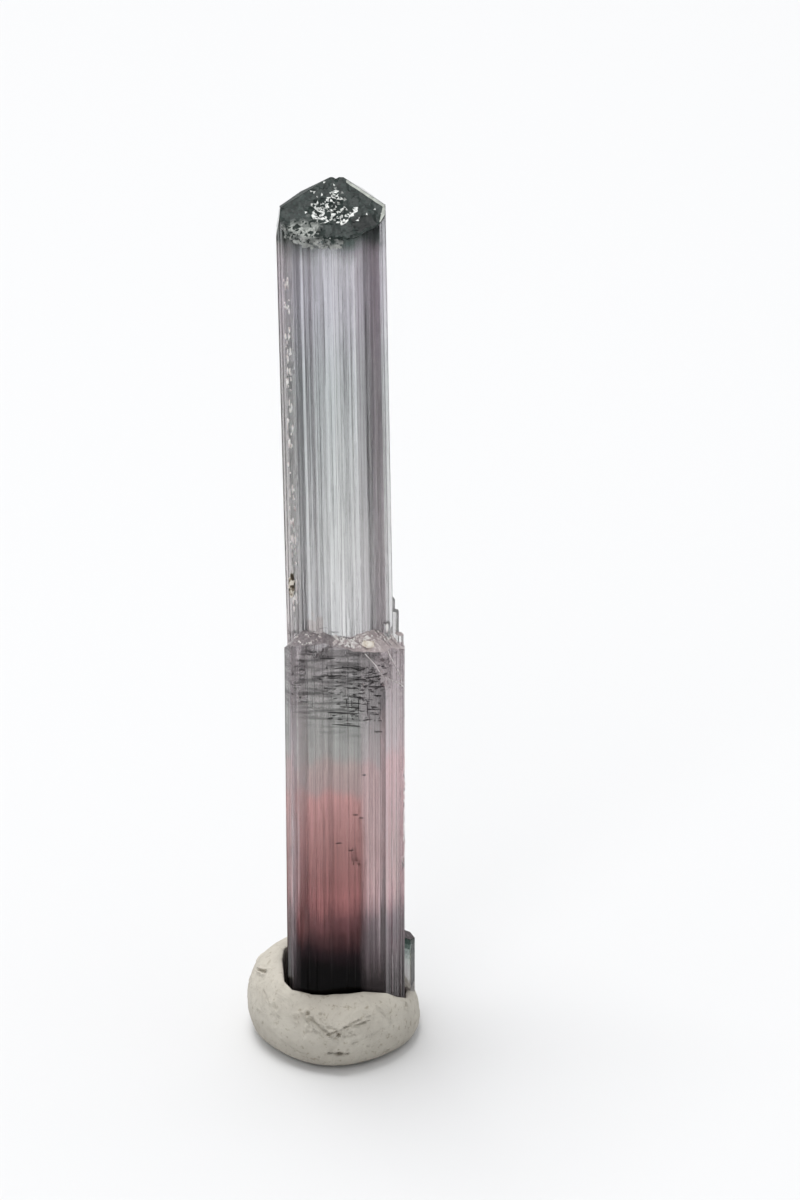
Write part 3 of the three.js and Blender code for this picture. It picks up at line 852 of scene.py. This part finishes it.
# The ledge is a fresh break, so it is frosted with tiny steps that scatter the light.
material, tree, shader = new_material("frosted_break")
place = object_place(tree)
grit = mottle(tree, 5200, 5, 0.7)
mauve = colour_ramp(tree, grit, [
    (0.38, (0.15, 0.125, 0.135)), (0.52, (0.26, 0.23, 0.235)), (0.6, (0.33, 0.29, 0.295)),
    (0.67, (0.8, 0.77, 0.75)),
])
pink = colour_ramp(tree, grit, [
    (0.38, (0.36, 0.3, 0.3)), (0.55, (0.47, 0.4, 0.4)), (0.68, (0.8, 0.75, 0.73)),
])
across = add_node(tree, "ShaderNodeSeparateXYZ", {0: place}).outputs["X"]
tint = mix_colours("MIX", fade(across, -0.2, 2.0), mauve, pink)
steps = add_node(tree, "ShaderNodeBump", {"Strength": 0.6, "Distance": 0.00006, "Height": grit})
set_inputs(tree, shader, {"Base Color": tint, "Normal": steps.outputs[0], "Roughness": 0.35, "IOR": 1.63})
grown.materials.append(material)
for index in frosted:
    grown.polygons[index].material_index = 1

# The back and the left of the top are dark green and dull.
material = mottled_material(
    "dull_green_top", 2200, 4, 0.5, [(0.35, (0.01, 0.016, 0.014)), (0.7, (0.035, 0.048, 0.043))], gloss=0.1,
)
grown.materials.append(material)
for index in dark_top:
    grown.polygons[index].material_index = 2

# Etched facets: the front top face was etched into tiny facets. Most are dark green, a crowd of them in the
# middle is painted white and grey as glints of light, a frosted patch lies at the left, and painted
# highlights edge the right. They are one skin on the top face, and small plates hang from it over the front
# edge.
FACET_SIZE = 0.16
FACET_HALF_WIDTH = 4
FACET_LENGTH = 5.4
FACET_RELIEF = (0.006, 0.055)
FACET_SKIN = 0.14

# Places on the face are given by x and y in the view from above: an oval by its middle and its two reaches,
# glitter also by its share of white facets, and a strip by its ends and its half width.
GLITTER = [
    ((-0.1, -1.2), (1.2, 0.95), 0.2), ((-0.4, -1.45), (0.75, 0.62), 0.6), ((0.3, -0.1), (0.26, 0.5), 0.27),
    ((0.1, -0.6), (1.1, 1.0), 0.07),
]
GLINT_STREAK = ((0.8, -2.1), (1.7, -1.05), 0.13)
FROST_PATCH = ((-1.65, -2.75), (1.25, 0.95))
DARK_POCKET = ((2.2, -2.05), (0.95, 0.6))
# Painted highlights: pale strips along the right edges of the face, for light reflected there.
PAINTED_HIGHLIGHT_RIMS = [((1.2, 0.9), (3.6, -0.87), 0.17), ((3.62, -0.9), (3.42, -1.9), 0.24)]
PAINTED_RIM_HIGHLIGHT_GREY = (0.44, 0.46, 0.42)
PAINTED_GLINT_WHITE = (0.86, 0.88, 0.85)
FROST_GREY = (0.5, 0.52, 0.49)
DARK_GREEN = (0.02, 0.03, 0.027)
POCKET_GREEN = (0.004, 0.008, 0.007)
PLATE_GREYS = ((0.04, 0.055, 0.05), (0.45, 0.46, 0.44))
RIM_PLATES = 260
RIM_AZIMUTHS = (-55, 14)
RIM_DROP = 0.75


def in_oval(spot, oval):
    """Under 1 inside an oval, given by its middle and its two reaches."""
    (x, y), (wide, long) = oval[:2]
    return math.hypot((spot.x - x) / wide, (spot.y - y) / long)


def on_painted_highlight(spot):
    return any(
        distance_to_segment(spot, Vector(start), Vector(end)) < width
        for start, end, width in PAINTED_HIGHLIGHT_RIMS
    )


def facet_colour(spot):
    """The colour of one facet, by its place in the view from above."""
    shade = random.uniform(0.5, 1.5)
    # Facets on a painted highlight strip are pale grey.
    if on_painted_highlight(spot):
        return [channel * (0.85 + 0.15 * shade) for channel in PAINTED_RIM_HIGHLIGHT_GREY]
    start, end, width = GLINT_STREAK
    on_streak = distance_to_segment(spot, Vector(start), Vector(end)) < width
    bright = max((share for *oval, share in GLITTER if in_oval(spot, oval) < 1), default=0.008)
    # Painted glints: white and grey facets stand in for light glinting off the etched facets.
    if random.random() < (0.75 if on_streak else bright):
        return [channel * min(1, shade) for channel in PAINTED_GLINT_WHITE]
    if random.random() < 0.4 * bright:
        return [channel * shade for channel in FROST_GREY]
    frost = 1.7 - 1.4 * in_oval(spot, FROST_PATCH) + 0.7 * noise.noise(Vector((spot.x, spot.y, 1)) * 2.6)
    if frost > 0:
        return Vector(DARK_GREEN).lerp(Vector(FROST_GREY), min(1, frost) * random.uniform(0.5, 1.2))
    if in_oval(spot, DARK_POCKET) < random.uniform(0.8, 1.1):
        return [channel * shade for channel in POCKET_GREEN]
    return [channel * shade for channel in DARK_GREEN]


def plate_colour(middle, drop):
    """The colour of a plate that hangs over the front edge, by its middle and how far down it hangs."""
    pale = 0.35 + 0.9 * noise.noise(middle * 3.1) + 0.35 * drop / RIM_DROP + (0.25 if middle.x < -0.4 else 0)
    dark, light = PLATE_GREYS
    return Vector(dark).lerp(Vector(light), min(1, max(0, pale)))


def add_flake(bm, place, size, turn=0, tilt=0, rough=0.25, subdivisions=2):
    """A small egg-shaped flake of uneven outline, as new geometry in bm."""
    made = bmesh.ops.create_icosphere(bm, subdivisions=subdivisions, radius=1)
    for vert in made["verts"]:
        vert.co *= 1 + rough * random.uniform(-1, 1)
    turned = Matrix.Rotation(math.radians(turn), 4, "Z") @ Matrix.Rotation(math.radians(tilt), 4, "Y")
    whole = Matrix.Translation(place) @ turned @ Matrix.Diagonal((*size, 1))
    bmesh.ops.transform(bm, verts=made["verts"], matrix=whole)


random.seed(5)
bm = bmesh.new()
bmesh.ops.create_grid(
    bm, size=1,
    x_segments=round(2 * FACET_HALF_WIDTH / FACET_SIZE), y_segments=round(FACET_LENGTH / FACET_SIZE),
    matrix=Matrix.Diagonal((FACET_HALF_WIDTH, FACET_LENGTH / 2, 1, 1)),
)
for vert in bm.verts:
    loose = 0.38 * FACET_SIZE
    spot = Vector((vert.co.x + CLEFT_X, RIDGE_Y + 0.1 + (vert.co.y - FACET_LENGTH / 2) * 0.88))
    rough = 1 if min(in_oval(spot, oval) for oval in (*GLITTER[:2], FROST_PATCH)) < 1 else 0
    relief = FACET_RELIEF[rough] * random.uniform(-1, 1) + 0.04 * noise.noise(vert.co * 1.7)
    vert.co += Vector((random.uniform(-loose, loose), random.uniform(-loose, loose), relief))
bmesh.ops.triangulate(bm, faces=bm.faces)
bmesh.ops.translate(bm, verts=bm.verts, vec=(CLEFT_X, 0.1 - FACET_LENGTH / 2, 0.02))
bmesh.ops.rotate(bm, verts=bm.verts, matrix=Matrix.Rotation(math.radians(FRONT_TILT), 3, "X"))
bmesh.ops.translate(bm, verts=bm.verts, vec=(0, RIDGE_Y, TOP))
cap_middle = Vector((upper_axis(61.5), 0, 61.5))
cuts = [(cap_middle + facing(side) * (distance - 0.04), facing(side)) for side, distance in UPPER_FACES]
for azimuth, tilt, x in TOP_FACES[1:]:
    cuts.append((Vector((x, RIDGE_Y, TOP)) - leaning(azimuth, tilt) * 0.02, leaning(azimuth, tilt)))
bevel_edge = Vector((upper_axis(BEVEL_FROM) - UPPER_FACES[9][1], 0, BEVEL_FROM))
cuts.append((bevel_edge - leaning(270, BEVEL_TILT) * 0.03, leaning(270, BEVEL_TILT)))
for point, normal in cuts:
    cut_mesh(bm, point, normal)
for start, end, width in PAINTED_HIGHLIGHT_RIMS:
    along = Vector((*end, 0)) - Vector((*start, 0))
    inward = along.normalized().cross(Vector((0, 0, 1)))
    cut_mesh(bm, Vector((*start, 0)) + inward * width, inward, clear=False)
ragged_edge = [
    face for face in bm.faces
    if slack_in(UPPER_FACES, cap_middle.x, face.calc_center_median()) < random.uniform(-0.1, 0.35)
    and not on_painted_highlight(face.calc_center_median().xy)
]
bmesh.ops.delete(bm, geom=ragged_edge, context="FACES")
made = bmesh.ops.extrude_face_region(bm, geom=bm.faces[:], use_keep_orig=True)
under = [part for part in made["geom"] if isinstance(part, bmesh.types.BMVert)]
bmesh.ops.translate(bm, verts=under, vec=leaning(0, FRONT_TILT) * -FACET_SKIN)
for vert in bm.verts:
    vert.co.z = min(vert.co.z, TOP + 0.02 - CLEFT_SIZE * math.sqrt(0.5) + abs(vert.co.x - CLEFT_X))
bmesh.ops.remove_doubles(bm, verts=bm.verts, dist=1e-4)
bmesh.ops.recalc_face_normals(bm, faces=bm.faces)
for _ in range(RIM_PLATES):
    azimuth = random.uniform(*RIM_AZIMUTHS)
    spot = cap_middle + facing(azimuth) * (reach(UPPER_FACES, azimuth % 360) - 0.03)
    edge = TOP + math.tan(math.radians(FRONT_TILT)) * (spot.y - RIDGE_Y)
    spot.z = edge + 0.05 - RIM_DROP * random.random() ** 1.6
    size = (random.uniform(0.05, 0.17), 0.04, random.uniform(0.05, 0.15))
    add_flake(bm, spot, size, turn=azimuth, rough=0.35, subdivisions=1)
facets = finish_mesh("etched_facets", bm, "root", "tourmaline", smooth=False)
tones = facets.data.color_attributes.new("facet_colour", "FLOAT_COLOR", "CORNER")
for polygon in facets.data.polygons:
    middle = polygon.center / MM
    drop = TOP + math.tan(math.radians(FRONT_TILT)) * (middle.y - RIDGE_Y) - middle.z
    hangs = middle.y < -2 and drop > 0.01 and polygon.normal.z < 0.8
    colour = plate_colour(middle, drop) if hangs else facet_colour(middle.xy)
    for corner in polygon.loop_indices:
        tones.data[corner].color = (*colour, 1)
material, tree, shader = new_material("etched_green_facets")
tone = add_node(tree, "ShaderNodeAttribute", attribute_name="facet_colour").outputs["Color"]
cloud = colour_ramp(tree, mottle(tree, 3000, 3), [(0.3, (0.7,) * 3), (0.7, (1.15,) * 3)])
tint = mix_colours("MULTIPLY", 1.0, tone, cloud)
set_inputs(tree, shader, {"Base Color": tint, "Roughness": 0.3, "Specular IOR Level": 0.12})
facets.data.materials.append(material)

# Partings: thin flat cracks across the upper jacket, whose dark films lie level just inside the faces, and
# thin dark growth lines that run up the upper prism just inside its faces. The crystal grew with them.

# A front film has x, z, half its length and a tilt, an upright one x, z and half its height, and a growth
# line an azimuth, its two ends and half its width.
FRONT_PARTINGS = [
    (-0.3, 30.9, 0.5, 0), (0.72, 30.2, 0.6, -6), (0.05, 29.62, 0.85, 0), (0.02, 29.58, 0.35, 0),
    (2.7, 29.5, 0.55, -5), (2.66, 30.05, 0.15, 8), (1.25, 28.7, 0.46, 2), (2.85, 28.8, 0.5, 0),
    (1.6, 28.0, 0.6, 3), (1.35, 27.55, 0.6, 0), (1.2, 27.25, 0.65, 4), (0.85, 26.8, 1.1, 3),
    (2.6, 27.1, 0.4, 0), (3.0, 25.4, 0.3, 0), (0.9, 25.9, 0.9, 6), (1.5, 19.05, 0.2, 0),
    (1.9, 18.85, 0.16, 0), (0.4, 16.9, 0.22, -8), (1.2, 16.3, 0.2, 0), (2.1, 22.1, 0.14, 0),
    (0.0, 29.45, 0.3, 3), (-0.9, 29.55, 0.5, 0), (1.9, 29.35, 0.4, 0), (2.6, 29.2, 0.3, 5),
    (3.0, 28.1, 0.3, 0),
]
UPRIGHT_PARTINGS = [
    (0.95, 27.6, 0.3), (1.3, 27.5, 0.35), (1.75, 27.35, 0.5), (2.3, 27.1, 0.55), (2.45, 26.6, 0.4),
]
GROWTH_LINES = [
    (-24.3, 34.2, 58.2, 0.026), (-29, 36, 58.5, 0.015), (-17.6, 34.5, 57, 0.014), (-44, 38, 50, 0.01),
    (-38, 38, 53, 0.01), (-3.6, 36, 50, 0.012), (4.9, 35, 48, 0.013), (20.7, 34, 58, 0.019),
    (38, 38, 58, 0.016), (45, 37, 59, 0.014), (12.5, 49, 58, 0.013), (-10, 50, 58, 0.014),
]
FRONT_TICKS = 105
RANDOM_PARTINGS = 90
PARTING_HEIGHTS = (24.4, 31.2)

random.seed(41)
bm = bmesh.new()
for x, z, half_length, tilt in FRONT_PARTINGS:
    inside = Vector((x, -LOWER_FACES[0][1] + random.uniform(0.2, 0.35), z))
    add_flake(bm, inside, (half_length, 0.15, random.uniform(0.02, 0.045)), tilt=tilt)
for x, z, half_height in UPRIGHT_PARTINGS:
    inside = Vector((x, -LOWER_FACES[0][1] + 0.3, z))
    add_flake(bm, inside, (0.035, 0.1, half_height))
for azimuth, low, high, half_width in GROWTH_LINES:
    middle = (low + high) / 2
    inside = crystal_point(azimuth % 360, None, middle, 0) - facing(azimuth) * 0.13
    size = (half_width, 0.04, (high - low) / 2)
    add_flake(bm, inside, size, turn=azimuth, tilt=math.degrees(UPPER_LEAN), rough=0.1)
for _ in range(FRONT_TICKS):
    x = random.triangular(-1.2, 3.5, 2.6)
    z = random.uniform(26.2, 30.4)
    inside = Vector((x, -LOWER_FACES[0][1] + 0.25, z))
    size = (random.uniform(0.04, 0.22), 0.1, random.uniform(0.015, 0.05))
    add_flake(bm, inside, size, tilt=random.uniform(-8, 8), rough=0.35)
for _ in range(RANDOM_PARTINGS):
    azimuth = random.uniform(0, 360)
    z = random.triangular(*PARTING_HEIGHTS, 29.5)
    out = facing(azimuth)
    inside = Vector((LOWER_AXIS, 0, z)) + out * (reach(LOWER_FACES, azimuth) - random.uniform(0.25, 1.1))
    size = (random.uniform(0.08, 0.4), random.uniform(0.06, 0.16), random.uniform(0.01, 0.025))
    add_flake(bm, inside, size, turn=azimuth, tilt=random.uniform(-7, 7))
films = finish_mesh("dark_partings", bm, "root", "tourmaline")
material = mottled_material(
    "dark_film", 2500, 3, 0.5, [(0.35, (0.008, 0.007, 0.009)), (0.65, (0.05, 0.042, 0.047))],
)
films.data.materials.append(material)

# White crumbs: grains of broken crystal and one pale oval on the ledge, and bruises along the worn left edge
# and low on the right edge, all the crystal's own broken surface. Pale flakes along the rims of the
# shell-shaped break on the right shoulder are painted highlights.

# A crowd of crumbs has a count, a span of azimuths, a span of shares from the rim inwards and a largest size.
LEDGE_CRUMBS = [
    (135, (-9, 29), (0.3, 0.95), 0.15), (34, (-48, -20), (0.1, 0.9), 0.07), (26, (30, 62), (0.5, 0.98), 0.12),
]
SMALLEST_CRUMB = 0.04
EDGE_BRUISES = 95
BRUISE_AZIMUTHS = (305.5, 312)
BRUISED_SPAN = (33.4, 57.5)
RIGHT_EDGE_BRUISES = 22
RIGHT_EDGE_SPAN = (14, 22.5)
RIGHT_EDGE_AZIMUTHS = (61, 67)
SCAR_RIM_HIGHLIGHTS = [
    [(3.69, -3.9, 31.35), (3.95, -3.46, 30.5), (4.47, -2.55, 28.87), (4.6, -2.33, 28.12)],
    [
        (2.22, -4.2, 31.29), (2.84, -4.2, 30.52), (3.5, -4.2, 29.59), (4.25, -2.94, 28.58),
        (4.67, -2.21, 27.84),
    ],
]
RIM_STEPS = 34
WHITE_OVAL = ((3.62, -2.5, 32.35), (0.13, 0.06, 0.36))

bm = bmesh.new()
add_flake(bm, *WHITE_OVAL, turn=50, rough=0.08)
for count, azimuths, shares, largest in LEDGE_CRUMBS:
    for _ in range(count):
        azimuth = random.uniform(*azimuths)
        share = random.uniform(*shares)
        spot = crystal_point(azimuth % 360, None, ledge_height(azimuth % 360, share), 1 - share)
        size = [random.uniform(SMALLEST_CRUMB, largest) for _ in range(3)]
        add_flake(bm, spot, size, turn=random.uniform(0, 90), rough=0.3, subdivisions=1)
for _ in range(EDGE_BRUISES):
    azimuth = random.uniform(*BRUISE_AZIMUTHS)
    z = random.uniform(*BRUISED_SPAN)
    size = (random.uniform(0.03, 0.1), random.uniform(0.03, 0.06), random.uniform(0.06, 0.34))
    add_flake(bm, crystal_point(azimuth, None, z, 0), size, turn=azimuth, rough=0.35, subdivisions=1)
for _ in range(RIGHT_EDGE_BRUISES):
    azimuth = random.uniform(*RIGHT_EDGE_AZIMUTHS)
    z = random.uniform(*RIGHT_EDGE_SPAN)
    spot = chip_away(crystal_point(azimuth, None, z, 1), LOWER_AXIS, chips)
    size = (random.uniform(0.03, 0.08), random.uniform(0.02, 0.05), random.uniform(0.06, 0.3))
    add_flake(bm, spot, size, turn=azimuth, rough=0.35, subdivisions=1)
# Painted highlights: pale flakes along the rims of the shell-shaped break.
for rim in SCAR_RIM_HIGHLIGHTS:
    for step in range(RIM_STEPS):
        here = along_curve(rim, step / RIM_STEPS)
        ahead = along_curve(rim, (step + 1) / RIM_STEPS) - here
        lean = math.degrees(math.atan2(ahead.x, ahead.z))
        if random.random() < 0.3:
            continue
        size = (random.uniform(0.012, 0.036), 0.04, random.uniform(0.06, 0.16))
        add_flake(bm, chip_away(here, LOWER_AXIS, chips), size, tilt=lean, rough=0.3, subdivisions=1)
pale_flakes_and_highlights = finish_mesh("white_crumbs_and_highlights", bm, "root", "tourmaline", smooth=False)
material = mottled_material("broken_white_crystal_and_highlights", 2600, 3, 0.3, [
    (0.32, (0.42, 0.34, 0.35)), (0.46, (0.74, 0.68, 0.67)), (0.6, (0.92, 0.9, 0.88)),
])
pale_flakes_and_highlights.data.materials.append(material)

# Albite grain: a cream crumb of the rock that the crystal grew on, bedded on the front of the ledge. It is
# a feldspar, opaque and dull, and holds on where it grew.
ALBITE_SIZE = (0.47, 0.3, 0.23)
ALBITE_PLACE = (2.42, -3.7, 31.78)
ALBITE_LEAN = 17
ALBITE_TURN = 25


def lumpy_grain(size, place, lumps, lean=0, turn=0):
    """A bmesh of a small uneven grain. Each of its lumps has a height and a fineness."""
    bm = bmesh.new()
    bmesh.ops.create_icosphere(bm, subdivisions=4, radius=1)
    for vert in bm.verts:
        vert.co *= 1 + sum(height * noise.noise(vert.co * fineness) for height, fineness in lumps)
    bmesh.ops.scale(bm, verts=bm.verts, vec=size)
    bmesh.ops.rotate(bm, verts=bm.verts, matrix=Matrix.Rotation(math.radians(lean), 3, "Y"))
    bmesh.ops.rotate(bm, verts=bm.verts, matrix=Matrix.Rotation(math.radians(turn), 3, "Z"))
    bmesh.ops.translate(bm, verts=bm.verts, vec=place)
    return bm


bm = lumpy_grain(ALBITE_SIZE, ALBITE_PLACE, ((0.22, 1.6), (0.06, 5)), ALBITE_LEAN, ALBITE_TURN)
albite = finish_mesh("albite_crumb", bm, "root", "albite", "albite_grain")
material = mottled_material(
    "cream_albite", 3500, 4, 0.55, [(0.35, (0.62, 0.52, 0.4)), (0.55, (0.95, 0.89, 0.8))],
)
albite.data.materials.append(material)

# Clay speck: brown clay and cream mineral dust caught in a worn pit of the left front edge. Clay
# like it lines the pockets in which such crystals grow.
CLAY_SIZE = (0.2, 0.2, 0.85)
CLAY_PLACE = (-2.62, -2.3, 35.4)

bm = lumpy_grain(CLAY_SIZE, CLAY_PLACE, ((0.3, 2.2), (0.1, 6)))
clay = finish_mesh("clay_in_pit", bm, "root", "clay", "clay_speck")
material = mottled_material("brown_clay", 3000, 4, 0.8, [
    (0.44, (0.05, 0.035, 0.02)), (0.5, (0.28, 0.22, 0.15)), (0.56, (0.8, 0.74, 0.66)),
])
clay.data.materials.append(material)

# Floor: a plain white sheet. The light is a bright pale room, brighter towards the back, with one broad soft
# lamp above and a weak one at the front left.
FLOOR_REACH = 3000

bm = bmesh.new()
bmesh.ops.create_grid(bm, x_segments=1, y_segments=1, size=FLOOR_REACH)
floor = loose_object("floor", bm)
material, tree, shader = new_material("white_sheet")
set_inputs(tree, shader, {"Base Color": (0.805, 0.805, 0.808, 1), "Roughness": 0.6})
floor.data.materials.append(material)

world = bpy.data.worlds.new("pale_room")
world.use_nodes = True
bpy.context.scene.world = world
tree = world.node_tree
sky = add_node(tree, "ShaderNodeTexCoord").outputs["Generated"]
toward = add_node(tree, "ShaderNodeSeparateXYZ", {0: sky}).outputs["Y"]
shade = add_node(
    tree, "ShaderNodeMapRange",
    {"Value": toward, "From Min": -0.9, "From Max": 0.5, "To Min": 0.44, "To Max": 0.84},
).outputs[0]
set_inputs(tree, tree.nodes["Background"], {"Strength": shade, "Color": (0.98, 0.99, 1, 1)})


def add_lamp(name, place, aim, size, power):
    lamp = bpy.data.lights.new(name, "AREA")
    lamp.size = size
    lamp.energy = power
    holder = bpy.data.objects.new(name, lamp)
    bpy.context.collection.objects.link(holder)
    holder.location = place
    holder.rotation_euler = (Vector(aim) - Vector(place)).to_track_quat("-Z", "Y").to_euler()


add_lamp("soft_top_lamp", (-0.28, 0.2, 2.0), (0, 0, 0.02), 0.9, 21)
add_lamp("soft_left_lamp", (-0.3, -0.8, 0.85), (0, 0, 0.03), 0.5, 1.5)

bpy.context.scene.view_settings.view_transform = "Standard"
